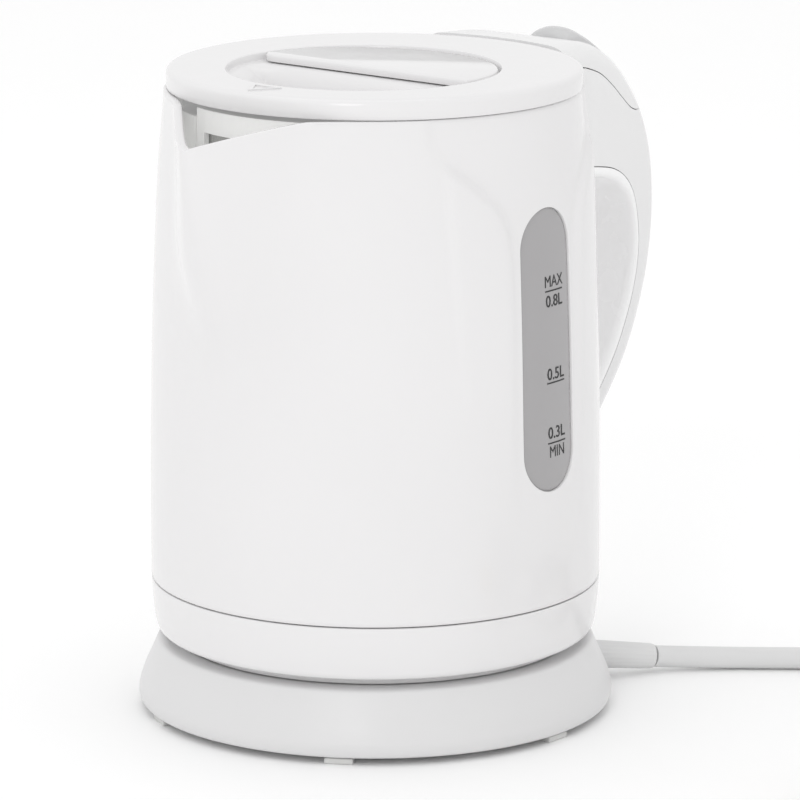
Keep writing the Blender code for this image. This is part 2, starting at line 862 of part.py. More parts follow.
def rocker_sections():
    """The rocker's side outline carried across its width, with a crowned top."""
    for across, drop in ((0.0072, 0.0022), (0.0064, 0.0012), (0.0036, 0.0003), (0, 0)):
        section = []
        for x, z in ROCKER:
            raised = max(z - SWITCH_PIVOT.z, 0) / (ROCKER_TOP - SWITCH_PIVOT.z)
            section.append((x, across, z - drop * raised))
        yield section


def build_switch():
    half = list(rocker_sections())
    sections = [[Vector((x, -y, z)) for x, y, z in section] for section in half]
    sections += [[Vector(point) for point in section] for section in reversed(half[:-1])]
    lofted("switch_rocker", sections, LEVER_GREY, SWITCH)
    low, high = (0.0738, -0.0028, 0.1695), (0.0925, 0.0028, 0.1703)
    block("contact_arm", low, high, BRASS, CONTACT, bevel=0.0002)
    low, high = (0.0720, -0.0105, 0.1500), (0.0935, 0.0105, 0.1672)
    block("steam_switch_housing", low, high, CONTROL_BLACK, JUG, bevel=0.0010)
    disc = ((0, 0.0008), (0.0060, 0.0004), (0.0063, -0.0004), (0, 0.0))
    turned("steam_bimetal_disc", disc, STEEL, JUG, steps=24, **along_x(0.0708, 0.1610))
    duct = ((0.0029, 0.0110), (0.0029, 0.0), (0.0020, 0.0), (0.0020, 0.0110))
    turned("steam_duct", duct, INNER_WHITE, JUG, steps=20, **along_x(0.0560, 0.1650))
    lamp = ((0, 0.0045), (0.0017, 0.0040), (0.0017, -0.0040), (0, -0.0045))
    turned(
        "indicator_lamp",
        lamp,
        WINDOW_GREY,
        JUG,
        steps=14,
        at=(0.0962, 0, 0.1640),
        turn=Matrix.Rotation(math.pi / 2, 3, "X"),
    )


def build_switch_wires():
    middle = []
    for inner, out, thickness, _ in list(handle_frames())[5:15]:
        free = thickness - GRIP_THICKNESS - WALL
        middle.append(inner + out * (GRIP_THICKNESS + free / 2))
    start = [Vector((0.0945, 0, 0.1560)), Vector((0.0975, 0, 0.1540))]
    tube("switch_wires", smooth_route(start + middle[1:], 0.0100), 0.0016, CORD_WHITE, JUG)


# ---------------------------------------------------------------- lid


def lid_dip(x, y, wider=0.0):
    """How far the lid's top lies below its rim: a round recess with a deep scoop in it."""
    inside = RECESS_RADIUS - math.hypot(x - RECESS_X, y) + wider
    shallow = RECESS_DEPTH * smooth_step(inside / RECESS_WALL)
    beside_grip = smooth_step((-0.0050 - x) / 0.0090)
    towards_end = 0.25 + 0.75 * smooth_step((y + 0.0300) / 0.0500)
    bowl = smooth_step(inside / 0.0160)
    return shallow + SCOOP_DEPTH * beside_grip * towards_end * bowl


def lid_row(radius, drop=0.0, wider=0.0):
    """A ring of the lid's surface. The rings' middle goes from the recess's to the lid's."""
    share = (radius - RECESS_RADIUS) / (LID_RADIUS - LID_WALL - RECESS_RADIUS)
    middle = RECESS_X * (1 - min(max(share, 0), 1))
    row = []
    for i in range(44):
        point = round_point(i * math.tau / 44, radius, LID_TOP - drop)
        point.x += middle
        point.z -= lid_dip(point.x, point.y, wider)
        row.append(point)
    return row


def build_lid_cover():
    floor = (0.0060, 0.0130, 0.0200, 0.0250, 0.0300, 0.0340)
    recess_wall = (0.0378, 0.0382, RECESS_RADIUS)
    inner_edge = LID_RADIUS - LID_WALL
    rows = [lid_row(radius) for radius in (*floor, *recess_wall, inner_edge)]
    for radius, drop in ((0.0572, 0.0001), (0.0580, 0.0008), (LID_RADIUS, 0.0020)):
        rows.append(lid_row(radius, drop))
    rows += [lid_row(radius, 0.0055) for radius in (LID_RADIUS, inner_edge)]
    for radius in (inner_edge, *reversed(recess_wall), *reversed(floor)):
        rows.append(lid_row(radius, LID_WALL, wider=0.0012))
    lofted("lid_cover", rows, GLOSS_WHITE, LID)


def build_lid_grip():
    """A half-round plate over the recess. Its straight edge stands over the scoop."""
    radius = RECESS_RADIUS - 0.0011
    start = -math.pi / 2 + (GRIP_EDGE_X - RECESS_X) / radius
    corner_x = GRIP_EDGE_X + GRIP_CORNER
    reach = radius - GRIP_CORNER
    corner_y = math.sqrt(reach**2 - (corner_x - RECESS_X) ** 2)
    stop = math.atan2(corner_y, corner_x - RECESS_X)
    outline = []
    for i in range(25):
        point = round_point(start + (stop - start) * i / 24, radius, 0)
        outline.append((RECESS_X + point.x, point.y))
    for i in range(1, 7):
        point = round_point(stop + (math.pi - stop) * i / 6, GRIP_CORNER, 0)
        outline.append((corner_x + point.x, corner_y + point.y))
    under = LID_TOP - RECESS_DEPTH + GAP
    over = LID_TOP + GRIP_RISE
    bottom = [Vector((x, y, under)) for x, y in outline]
    top = [Vector((x, y, over - GRIP_SLOPE * (x - GRIP_EDGE_X))) for x, y in outline]
    grip = lofted("lid_grip", (bottom, top), GLOSS_WHITE, LID)
    rounding = grip.modifiers.new("rounding", "BEVEL")
    rounding.width = 0.0005
    rounding.segments = 2
    rounding.limit_method = "ANGLE"
    rounding.angle_limit = math.radians(50)


def build_lid_pan():
    pan = turned(
        "lid_pan",
        (
            (0, 0.1710),
            (0.0538, 0.1710),
            (0.0538, 0.1777),
            (0.0556, 0.1777),
            (0.0556, 0.1693),
            (0, 0.1693),
        ),
        INNER_WHITE,
        LID,
    )
    low, high = (-0.0700, -0.0700, 0.1600), (LID_CUT_X, 0.0700, 0.1900)
    cut(pan, block("lid_pan_cutter", low, high, None, LID, 0, collection=CUTTERS))


build_base()
build_feet_and_screws()
build_socket()
build_jug_connector()
build_cord()
build_coil_and_plug()
build_jug_body()
build_window()
build_jug_bottom()
build_filter()
build_handle()
build_switch()
build_switch_wires()
build_lid_cover()
build_lid_grip()
build_lid_pan()
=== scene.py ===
"""The looks of the small electric kettle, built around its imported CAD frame.

Metres, +Z up. Places are measured from the kettle's upright axis, which the frame gives, and
angles round the jug run from the spout (0) over the water window (90) to the handle (180).
"""

import math

import bmesh
import bpy
from mathutils import Matrix, Vector


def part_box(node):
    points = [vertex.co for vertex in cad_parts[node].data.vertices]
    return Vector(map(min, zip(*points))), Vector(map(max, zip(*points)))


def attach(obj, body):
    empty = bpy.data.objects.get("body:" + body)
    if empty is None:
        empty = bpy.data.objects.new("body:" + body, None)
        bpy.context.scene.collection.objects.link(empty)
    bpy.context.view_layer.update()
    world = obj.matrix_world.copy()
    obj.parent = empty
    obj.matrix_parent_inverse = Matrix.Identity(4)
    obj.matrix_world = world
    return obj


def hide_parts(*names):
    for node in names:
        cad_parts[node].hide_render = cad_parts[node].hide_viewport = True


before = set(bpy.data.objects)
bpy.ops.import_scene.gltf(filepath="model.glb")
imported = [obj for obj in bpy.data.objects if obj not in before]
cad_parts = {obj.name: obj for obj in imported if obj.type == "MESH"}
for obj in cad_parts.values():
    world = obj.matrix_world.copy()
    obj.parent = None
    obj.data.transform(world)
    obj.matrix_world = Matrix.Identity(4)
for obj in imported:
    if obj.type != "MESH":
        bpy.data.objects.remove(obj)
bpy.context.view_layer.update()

# Heights and radii that the frame gives
BASE_LOW, BASE_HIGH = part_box("base_shell")
LID_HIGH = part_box("lid_cover")[1]
AXIS = Vector(((BASE_LOW.x + BASE_HIGH.x) / 2, 0, 0))
SEAM_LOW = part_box("jug_body")[0].z
SEAM_LID = LID_HIGH.z - 0.0058
LID_TOP = LID_HIGH.z
LID_RADIUS = LID_HIGH.y
WINDOW_LOW, WINDOW_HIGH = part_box("water_window")[0].z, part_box("water_window")[1].z

# The clearance between pieces, and the thickness of the jug's and the handle's walls
GAP = 0.0003
WALL = 0.0022

# The lid's shape: its round recess, the deep scoop in it and the half-round grip over that
LID_WALL = 0.0020
LID_STEPS = 360
RECESS_X = -0.0050
RECESS_RADIUS = 0.0386
RECESS_DEPTH = 0.0020
RECESS_WALL = 0.0008
SCOOP_DEPTH = 0.0074
GRIP_EDGE_X = -0.0065
GRIP_CORNER = 0.0060
GRIP_RISE = 0.0004
GRIP_SLOPE = 0.0250

# The jug's spout
SPOUT_TIP_DROP = 0.0068
SPOUT_HALF_ANGLE = math.radians(41)
SPOUT_MOUTH_ANGLE = math.radians(26.7)

# The water window: its spine joins its round ends, and widths are taken at WINDOW_ARC's radius
WINDOW_HALF_WIDTH = 0.0112
WINDOW_SUNK = 0.0006
WINDOW_ARC = 0.063
SPINE_LOW, SPINE_HIGH = WINDOW_LOW + WINDOW_HALF_WIDTH, WINDOW_HIGH - WINDOW_HALF_WIDTH

# Outer radius of the jug's round wall at each height
JUG_WALL = (
    (0.0381, 0.0636),
    (0.0528, 0.0637),
    (0.0782, 0.0635),
    (0.1036, 0.0630),
    (0.1290, 0.0621),
    (0.1544, 0.0608),
    (0.1680, 0.0596),
    (0.1778, 0.0584),
)
# How far from the window's middle its sunk panel reaches at each height, in degrees
PANEL_EDGE = (
    (0.0381, 13.2),
    (0.1231, 13.4),
    (0.1430, 14.4),
    (0.1518, 17.8),
    (0.1591, 24.8),
    (0.1657, 33.0),
    (0.1708, 36.0),
    (0.1778, 37.0),
)
PANEL_SUNK = 0.0009
PANEL_RIDGE = 0.0010
# How far the spout's keel stands from the axis at each height
SPOUT_KEEL = (
    (0.0980, 0.0590),
    (0.1107, 0.0645),
    (0.1255, 0.0705),
    (0.1401, 0.0754),
    (0.1571, 0.0793),
    (0.1655, 0.0808),
    (0.1711, 0.0816),
    (0.1778, 0.0822),
)
# The handle's side view: outer line, inner line (x, z) and half the width
HANDLE = (
    ((0.0550, 0.1839), (0.0550, 0.1470), 0.0265),
    ((0.0680, 0.1834), (0.0680, 0.1445), 0.0235),
    ((0.0790, 0.1812), (0.0780, 0.1427), 0.0205),
    ((0.0890, 0.1769), (0.0868, 0.1408), 0.0182),
    ((0.0979, 0.1705), (0.0938, 0.1380), 0.0165),
    ((0.1064, 0.1613), (0.0990, 0.1340), 0.0153),
    ((0.1122, 0.1503), (0.1020, 0.1290), 0.0146),
    ((0.1151, 0.1380), (0.1036, 0.1220), 0.0142),
    ((0.1159, 0.1250), (0.1036, 0.1148), 0.0140),
    ((0.1148, 0.1110), (0.1020, 0.1065), 0.0136),
    ((0.1112, 0.0970), (0.0986, 0.0972), 0.0131),
    ((0.1054, 0.0838), (0.0936, 0.0872), 0.0125),
    ((0.0976, 0.0715), (0.0868, 0.0768), 0.0115),
    ((0.0882, 0.0605), (0.0788, 0.0668), 0.0110),
    ((0.0770, 0.0505), (0.0698, 0.0580), 0.0106),
    ((0.0570, 0.0380), (0.0550, 0.0490), 0.0102),
)
# The line where the handle's top cover meets the handle shell, (x, z)
TOP_SEAM = (
    (0.0500, 0.1784),
    (0.0600, 0.1777),
    (0.0650, 0.1770),
    (0.0695, 0.1759),
    (0.0778, 0.1732),
    (0.0862, 0.1686),
    (0.0935, 0.1636),
    (0.0990, 0.1600),
    (0.1035, 0.1590),
    (0.1078, 0.1606),
    (0.1115, 0.1640),
)
# The switch rocker's side outline, (x, z)
ROCKER = (
    (0.0784, 0.1808),
    (0.0798, 0.1826),
    (0.0816, 0.1838),
    (0.0836, 0.1842),
    (0.0858, 0.1838),
    (0.0900, 0.1815),
    (0.0950, 0.1776),
    (0.0990, 0.1738),
    (0.0997, 0.1727),
    (0.0989, 0.1717),
    (0.0930, 0.1720),
    (0.0890, 0.1716),
    (0.0850, 0.1722),
    (0.0792, 0.1772),
)
ROCKER_TOP = 0.1842
ROCKER_HALF_WIDTH = 0.0072
GRIP_THICKNESS = 0.0030
HANDLE_CORNER = 0.0068

# The cord: its middle's height on the table and rise where it crosses itself, and its coil's
# place along its run over the table and across it
CORD_RADIUS = 0.0032
CORD_LOW = CORD_RADIUS + 0.0001
CROSSING_RISE = 0.0056
CORD_RUN_ANGLE = math.radians(-51.3)
CORD_EXIT_ANGLE = math.radians(-31.3)
COIL_RADIUS = 0.0384
COIL_ALONG = 0.1750
COIL_ACROSS = -0.0106


# ---------------------------------------------------------------- small tools


def smooth_step(value):
    t = min(max(value, 0.0), 1.0)
    return t * t * (3 - 2 * t)


def mix(a, b, t):
    return a + (b - a) * t


def read_curve(points, at):
    """The value at `at` on a smooth curve through (at, value) points."""
    if at <= points[0][0]:
        return points[0][1]
    for i, ((a, low), (b, high)) in enumerate(zip(points, points[1:])):
        if at <= b:
            before = points[max(i - 1, 0)]
            after = points[min(i + 2, len(points) - 1)]
            start = (high - before[1]) / (b - before[0]) * (b - a)
            end = (after[1] - low) / (after[0] - a) * (b - a)
            t = (at - a) / (b - a)
            rise = 3 * (high - low) - 2 * start - end
            return low + start * t + rise * t * t + (start + end - 2 * (high - low)) * t**3
    return points[-1][1]


def smooth_route(points, pieces):
    """The route's points with `pieces` stretches between each two, on a smooth curve."""
    padded = [2 * points[0] - points[1], *points, 2 * points[-1] - points[-2]]
    route = [points[0]]
    for a, b, c, d in zip(padded, padded[1:], padded[2:], padded[3:]):
        for i in range(1, pieces + 1):
            t = i / pieces
            bend = (2 * a - 5 * b + 4 * c - d) * t * t + (3 * b - a - 3 * c + d) * t**3
            route.append((2 * b + (c - a) * t + bend) / 2)
    return route


def soft_max(a, b, reach):
    """The larger of two values, with a smooth blend where they are closer than `reach`."""
    near = max(reach - abs(a - b), 0.0) / reach
    return max(a, b) + near * near * reach / 4


def round_point(angle, radius, height):
    return Vector((radius * math.cos(angle), radius * math.sin(angle), height))


def add_mesh(name, bm, material, body=None, sharp_degrees=40):
    """Makes the object, at the kettle's axis, and lets it ride on its body."""
    bmesh.ops.recalc_face_normals(bm, faces=bm.faces)
    mesh = bpy.data.meshes.new(name)
    bm.to_mesh(mesh)
    bm.free()
    mesh.shade_smooth()
    mesh.set_sharp_from_angle(angle=math.radians(sharp_degrees))
    obj = bpy.data.objects.new(name, mesh)
    bpy.context.scene.collection.objects.link(obj)
    obj.location = AXIS
    if material:
        mesh.materials.append(material)
    if body:
        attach(obj, body)
    return obj


def filleted(outline, pieces=5):
    """The closed outline's points, with each (x, y, fillet) corner rounded."""
    points = []
    count = len(outline)
    for i, (x, y, fillet) in enumerate(outline):
        corner = Vector((x, y))
        before = Vector(outline[i - 1][:2]) - corner
        after = Vector(outline[(i + 1) % count][:2]) - corner
        reach = min(fillet, before.length * 0.49, after.length * 0.49)
        if reach <= 0:
            points.append(corner)
            continue
        start = corner + before.normalized() * reach
        end = corner + after.normalized() * reach
        for k in range(pieces + 1):
            t = k / pieces
            points.append(start * (1 - t) ** 2 + corner * 2 * t * (1 - t) + end * t * t)
    return points


def turned(name, outline, material, body, steps):
    """A turned piece from a closed (radius, height, fillet) outline."""
    profile = filleted(outline)
    bm = bmesh.new()
    rings = []
    for i in range(steps):
        angle = i * math.tau / steps
        rings.append([bm.verts.new(round_point(angle, max(p.x, 0), p.y)) for p in profile])
    count = len(profile)
    for i in range(steps):
        one, two = rings[i], rings[(i + 1) % steps]
        for k in range(count):
            n = (k + 1) % count
            bm.faces.new((one[k], two[k], two[n], one[n]))
    bmesh.ops.remove_doubles(bm, verts=bm.verts, dist=0.000005)
    return add_mesh(name, bm, material, body)


def bridge(bm, one, two, look=0):
    """Faces between two closed rings of vertices, except where a ring has None."""
    for i in range(len(one)):
        j = (i + 1) % len(one)
        corners = (one[i], one[j], two[j], two[i])
        if None not in corners:
            bm.faces.new(corners).material_index = look


def lofted(bm, sections):
    """A closed solid through closed sections with equal point counts, capped at both ends."""
    rings = [[bm.verts.new(point) for point in section] for section in sections]
    for one, two in zip(rings, rings[1:]):
        bridge(bm, one, two)
    bm.faces.new(rings[0][::-1])
    bm.faces.new(rings[-1])


def cut_and_apply(obj, cutter, operation="DIFFERENCE"):
    """Cuts the mesh itself, so that the caller can take the cutter out of the scene."""
    modifier = obj.modifiers.new("cut", "BOOLEAN")
    modifier.operation = operation
    modifier.solver = "EXACT"
    modifier.object = cutter
    bpy.context.view_layer.update()
    graph = bpy.context.evaluated_depsgraph_get()
    mesh = bpy.data.meshes.new_from_object(obj.evaluated_get(graph))
    obj.modifiers.remove(modifier)
    obj.data = mesh


def finish_piece(obj, body, slot, *nodes, sharp_degrees=35):
    """Shades a piece after its last cut, lets it ride on its body and hides the frame's parts that
    it stands for.
    """
    obj.data.shade_smooth()
    obj.data.set_sharp_from_angle(angle=math.radians(sharp_degrees))
    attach(obj, body)
    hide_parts(*nodes)


# ---------------------------------------------------------------- materials


def surface(name, colour, roughness, **sockets):
    """A Principled material, with its constant values set on the shader's own sockets."""
    material = bpy.data.materials.new(name)
    material.use_nodes = True
    shader = material.node_tree.nodes["Principled BSDF"]
    shader.inputs["Base Color"].default_value = (*colour, 1)
    shader.inputs["Roughness"].default_value = roughness
    for socket, value in sockets.items():
        shader.inputs[socket.replace("_", " ")].default_value = value
    material.diffuse_color = (*colour, 1)
    return material


def noise(material, scale, detail, stretch=(1, 1, 1)):
    """A noise pattern fixed to the object, `scale` waves to the metre."""
    nodes, links = material.node_tree.nodes, material.node_tree.links
    place = nodes.new("ShaderNodeTexCoord")
    mapping = nodes.new("ShaderNodeMapping")
    mapping.inputs["Scale"].default_value = stretch
    texture = nodes.new("ShaderNodeTexNoise")
    texture.inputs["Scale"].default_value = scale
    texture.inputs["Detail"].default_value = detail
    links.new(place.outputs["Object"], mapping.inputs["Vector"])
    links.new(mapping.outputs["Vector"], texture.inputs["Vector"])
    return texture.outputs["Fac"]


def vary_colour(material, pattern, darker):
    """Lets the colour fall to `darker` of itself along the pattern."""
    nodes, links = material.node_tree.nodes, material.node_tree.links
    shader = nodes["Principled BSDF"]
    colour = shader.inputs["Base Color"].default_value
    ramp = nodes.new("ShaderNodeValToRGB")
    ramp.color_ramp.elements[0].position = 0.3
    ramp.color_ramp.elements[0].color = (*[c * darker for c in colour[:3]], 1)
    ramp.color_ramp.elements[1].position = 0.7
    ramp.color_ramp.elements[1].color = tuple(colour)
    links.new(pattern, ramp.inputs["Fac"])
    links.new(ramp.outputs["Color"], shader.inputs["Base Color"])


def vary_roughness(material, pattern, low, high):
    """Lets the roughness go from `low` to `high` along the pattern."""
    nodes, links = material.node_tree.nodes, material.node_tree.links
    span = nodes.new("ShaderNodeMapRange")
    span.inputs["From Min"].default_value = 0.3
    span.inputs["From Max"].default_value = 0.7
    span.inputs["To Min"].default_value = low
    span.inputs["To Max"].default_value = high
    links.new(pattern, span.inputs["Value"])
    links.new(span.outputs["Result"], nodes["Principled BSDF"].inputs["Roughness"])


def add_bump(material, pattern, depth):
    """Raises the surface by up to `depth` metres along the pattern."""
    nodes, links = material.node_tree.nodes, material.node_tree.links
    bump = nodes.new("ShaderNodeBump")
    bump.inputs["Strength"].default_value = 1.0
    bump.inputs["Distance"].default_value = depth
    links.new(pattern, bump.inputs["Height"])
    links.new(bump.outputs["Normal"], nodes["Principled BSDF"].inputs["Normal"])


def moulded(name, colour, roughness, grain, depth, **sockets):
    """Moulded plastic: faint flow marks in its colour, uneven gloss, and a fine grain."""
    material = surface(name, colour, roughness, **sockets)
    vary_colour(material, noise(material, 18, 4), 0.985)
    vary_roughness(material, noise(material, 70, 5), roughness * 0.85, roughness * 1.2)
    add_bump(material, noise(material, grain, 2), depth)
    return material


def brushed(name, colour, roughness, stretch):
    """Metal with fine drawn lines."""
    material = surface(name, colour, roughness, Metallic=1.0)
    lines = noise(material, 900, 4, stretch)
    vary_roughness(material, lines, roughness * 0.8, roughness * 1.3)
    vary_colour(material, noise(material, 60, 3), 0.94)
    add_bump(material, lines, 0.00001)
    return material


GLOSS_WHITE = moulded(
    "gloss_white", (0.78, 0.773, 0.777), 0.13, 240, 0.00001, Specular_IOR_Level=0.42
)
HANDLE_WHITE = moulded(
    "handle_white", (0.80, 0.798, 0.80), 0.22, 260, 0.00001, Specular_IOR_Level=0.4
)
# Painted light: the strip's faint glow brightens it where it lies in shade between the jug and the
# handle, standing for the light that comes through the hollow handle
STRIP_PAINTED_GLOW = moulded(
    "handle_strip_painted_glow", (0.86, 0.858, 0.86), 0.25, 260, 0.00001,
    Specular_IOR_Level=0.4, Emission_Color=(1, 1, 1, 1), Emission_Strength=0.055,
)
BASE_WHITE = moulded("satin_white", (0.70, 0.697, 0.70), 0.38, 2600, 0.00002)
# Painted light: the faint glow brightens the shaded inside faces, standing for the daylight that a
# thin white wall lets through to the inside
INNER_PAINTED_GLOW = moulded(
    "inner_white_painted_glow", (0.84, 0.84, 0.83), 0.45, 1800, 0.00002,
    Emission_Color=(1, 1, 1, 1), Emission_Strength=0.12,
)
WINDOW_GREY = moulded(
    "window_grey", (0.478, 0.468, 0.475), 0.16, 400, 0.000005, Transmission_Weight=0.25
)
SMOKE_GREY = moulded(
    "smoke_grey", (0.70, 0.70, 0.705), 0.18, 400, 0.000005, Transmission_Weight=0.2
)
BLACK_NYLON = moulded("black_nylon_moulded", (0.035, 0.035, 0.037), 0.48, 2200, 0.00003)
SEAL_GREY = moulded("silicone", (0.50, 0.51, 0.51), 0.55, 1500, 0.00001)
FOOT_GREY = moulded("foot_rubber", (0.64, 0.64, 0.63), 0.7, 3000, 0.00004)
CORD_WHITE = moulded("cord_pvc", (0.70, 0.70, 0.70), 0.42, 1700, 0.00002)
INK = surface("gauge_ink", (0.020, 0.020, 0.021), 0.5)
vary_roughness(INK, noise(INK, 900, 3), 0.4, 0.6)
STEEL = brushed("brushed_steel", (0.60, 0.60, 0.59), 0.26, (1, 12, 1))
ALUMINIUM = brushed("cast_alloy", (0.58, 0.58, 0.58), 0.45, (1, 1, 1))
BRASS = brushed("bright_brass", (0.72, 0.53, 0.22), 0.24, (1, 1, 8))


# ---------------------------------------------------------------- camera, light and floor


def aim(obj, place, at):
    obj.location = place
    obj.rotation_euler = (Vector(at) - Vector(place)).to_track_quat("-Z", "Y").to_euler()


def build_camera():
    """The photograph's view: from the front left, a little above, with a long lens."""
    data = bpy.data.cameras.new("camera")
    data.lens = 249.1
    data.sensor_width = 36
    data.clip_end = 20
    camera = bpy.data.objects.new("camera", data)
    bpy.context.scene.collection.objects.link(camera)
    ahead = Vector((0.780, 0.625, 0)).normalized()
    right = Vector((ahead.y, -ahead.x, 0))
    pitch = math.radians(12.89)
    place = AXIS - ahead * 1.524 + right * 0.0070 + Vector((0, 0, 0.4366))
    look = ahead * math.cos(pitch) - Vector((0, 0, math.sin(pitch)))
    aim(camera, place, place + look)
    bpy.context.scene.camera = camera


def softbox(name, place, at, size, power):
    data = bpy.data.lights.new(name, "AREA")
    data.shape = "RECTANGLE"
    data.size, data.size_y = size
    data.energy = power
    light = bpy.data.objects.new(name, data)
    bpy.context.scene.collection.objects.link(light)
    aim(light, place, at)


def build_light():
    scene = bpy.context.scene
    scene.view_settings.view_transform = "Standard"
    world = bpy.data.worlds.new("studio")
    world.use_nodes = True
    background = world.node_tree.nodes["Background"]
    background.inputs["Color"].default_value = (1.0, 1.0, 1.0, 1)
    background.inputs["Strength"].default_value = 0.95
    scene.world = world
    middle = AXIS + Vector((0, 0, 0.09))
    softbox("key_softbox", middle + Vector((-1.6, -0.7, 0.8)), middle, (0.5, 0.9), 4.5)
    softbox("side_softbox", middle + Vector((0.3, -1.7, 0.8)), middle, (0.7, 1.2), 0.3)
    softbox("top_softbox", middle + Vector((0.2, 0.3, 1.7)), middle, (1.2, 1.2), 2.4)


def build_floor():
    bm = bmesh.new()
    bmesh.ops.create_circle(bm, cap_ends=True, segments=96, radius=4)
    material = surface("pale_floor", (0.99, 0.99, 0.99), 0.6, Specular_IOR_Level=0.1)
    vary_roughness(material, noise(material, 6, 2), 0.55, 0.65)
    floor = add_mesh("floor", bm, material)


build_camera()
build_light()
build_floor()


# ---------------------------------------------------------------- cord


# The middle line of the sleeve that the cord comes out of
SLEEVE_START = round_point(CORD_EXIT_ANGLE, 0.0575, 0.0085)
SLEEVE_AXIS = round_point(CORD_EXIT_ANGLE, 0.0855, 0.0048) - SLEEVE_START


def on_table(along, across, height):
    """A place from how far it is along the cord's run and across it."""
    run = round_point(CORD_RUN_ANGLE, along, height)
    return run + round_point(CORD_RUN_ANGLE + math.pi / 2, across, 0)


def coil_height(turned_by):
    """How high the cord lies after this many degrees of winding."""
    top = CORD_LOW + CROSSING_RISE
    hump = smooth_step((turned_by - 640) / 30) * (1 - smooth_step((turned_by - 720) / 50))
    return mix(CORD_LOW, top, smooth_step((turned_by - 612) / 72)) + 0.0010 * hump


def coil_radius(turned_by):
    """The outer turn, then the inner one, then the groove between the two."""
    inwards = smooth_step((turned_by - 300) / 60)
    back = smooth_step((turned_by - 675) / 60)
    return COIL_RADIUS + CORD_RADIUS * (1 - 2 * inwards + back)


def build_cord():
    """The cord: over the table, wound into a coil, then up over it to the plug."""
    leave = SLEEVE_START + SLEEVE_AXIS * (1 + GAP / SLEEVE_AXIS.length)
    run = [
        leave,
        SLEEVE_START + SLEEVE_AXIS * (1 + 0.0040 / SLEEVE_AXIS.length),
        on_table(0.0980, 0.0320, 0.0036),
        on_table(0.1080, 0.0326, CORD_LOW),
        on_table(0.1250, 0.0322, CORD_LOW),
        on_table(0.1400, 0.0314, CORD_LOW),
        on_table(0.1512, 0.0310, CORD_LOW),
        on_table(0.1630, 0.0310, CORD_LOW),
        on_table(COIL_ALONG, 0.0310, CORD_LOW),
    ]
    route = smooth_route(run, 3)
    for step in range(1, 170):
        angle = math.radians(90 - 5 * step)
        radius = coil_radius(5 * step)
        along = COIL_ALONG + radius * math.cos(angle)
        across = COIL_ACROSS + radius * math.sin(angle)
        route.append(on_table(along, across, coil_height(5 * step)))
    off_coil = on_table(COIL_ALONG, COIL_ACROSS, 0) + round_point(
        CORD_RUN_ANGLE + math.radians(-40), COIL_RADIUS, 0
    )
    heading = round_point(CORD_RUN_ANGLE + math.radians(-130), 1, 0)
    axis_height = (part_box("plug_body")[0].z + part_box("plug_body")[1].z) / 2
    for step in range(12):
        gone = 0.0040 * step
        height = mix(CORD_LOW + CROSSING_RISE, axis_height, smooth_step(gone / 0.0420))
        route.append(off_coil + heading * gone + Vector((0, 0, height)))
    curve = bpy.data.curves.new("power_cord", "CURVE")
    curve.dimensions = "3D"
    curve.bevel_depth = CORD_RADIUS
    curve.bevel_resolution = 6
    curve.use_fill_caps = True
    spline = curve.splines.new("POLY")
    spline.points.add(len(route) - 1)
    for target, point in zip(spline.points, route):
        target.co = (*point, 1.0)
    curve.materials.append(CORD_WHITE)
    cord = bpy.data.objects.new("power_cord", curve)
    bpy.context.scene.collection.objects.link(cord)
    cord.location = AXIS
    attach(cord, "power_base")
    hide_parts("mains_cord", "cord_coil", "cord_tail")


build_cord()


# ---------------------------------------------------------------- jug, window and base


def rim_height(angle):
    """The jug's top edge, which dips into the spout."""
    away = abs(angle)
    if away > SPOUT_MOUTH_ANGLE:
        return SEAM_LID
    full = math.sin(SPOUT_MOUTH_ANGLE) / math.sin(SPOUT_MOUTH_ANGLE + SPOUT_HALF_ANGLE)
    share = min(math.sin(away) / math.sin(away + SPOUT_HALF_ANGLE) / full / 0.85, 1.0)
    return SEAM_LID - SPOUT_TIP_DROP * (1 - share) ** 1.15


def jug_radius(angle, height, inset=0.0):
    """The jug's radius at an angle from the spout, `inset` inside its outer face."""
    wall = read_curve(JUG_WALL, height) - inset
    away = abs(angle)
    if height < SPOUT_KEEL[0][0] or away > math.radians(90):
        return wall
    blunt = math.radians(2.0 + 9.5 * (1 - smooth_step((height - 0.112) / 0.062)))
    nose = read_curve(SPOUT_KEEL, height) * math.sin(SPOUT_HALF_ANGLE + blunt) - inset
    turn = SPOUT_HALF_ANGLE + math.hypot(away, blunt)
    spread = 1 / math.sin(turn)
    if turn > math.pi / 2:
        spread = 2 - spread
    return soft_max(wall, nose * spread, 0.0055)


def panel_relief(angle, height):
    """How far the wall sinks round the water window, and swells in a ridge on either side."""
    aside = abs(math.degrees(angle) - 90)
    if aside > 40:
        return 0.0
    edge = read_curve(PANEL_EDGE, height)
    inside = smooth_step((edge - aside) / 4.2 + 0.5)
    sunk = PANEL_SUNK * inside * smooth_step((height - 0.050) / 0.045)
    crease = 34.0 - 68 * (0.175 - height)
    ridge = PANEL_RIDGE * smooth_step((crease + 1.0 - aside) / 3.4) * (1 - inside)
    return sunk - ridge * smooth_step((height - 0.075) / 0.090)


def jug_point(angle, height, inset=0.0):
    """A place in the jug's wall. The relief is its outer half's, so the inner face stays round."""
    share = min((WALL - inset) / 0.0010, 1.0)
    radius = jug_radius(angle, height, inset) - share * panel_relief(angle, height)
    return round_point(math.pi + angle, radius, height)


def spaced(stops):
    """Degrees from stop to stop, each stretch with its own spacing."""
    angles = [stops[0][0]]
    for (start, step), (end, _) in zip(stops, stops[1:]):
        count = max(1, round((end - start) / step))
        angles += [mix(start, end, (i + 1) / count) for i in range(count)]
    return angles


def outline_point(angle, height, radius):
    """Where the line from the window's spine to this place crosses the window's outline."""
    across = (angle - math.radians(90)) * WINDOW_ARC
    spine = min(max(height, SPINE_LOW), SPINE_HIGH)
    way = Vector((across, height - spine)).normalized() * radius
    return math.radians(90) + way.x / WINDOW_ARC, spine + way.y


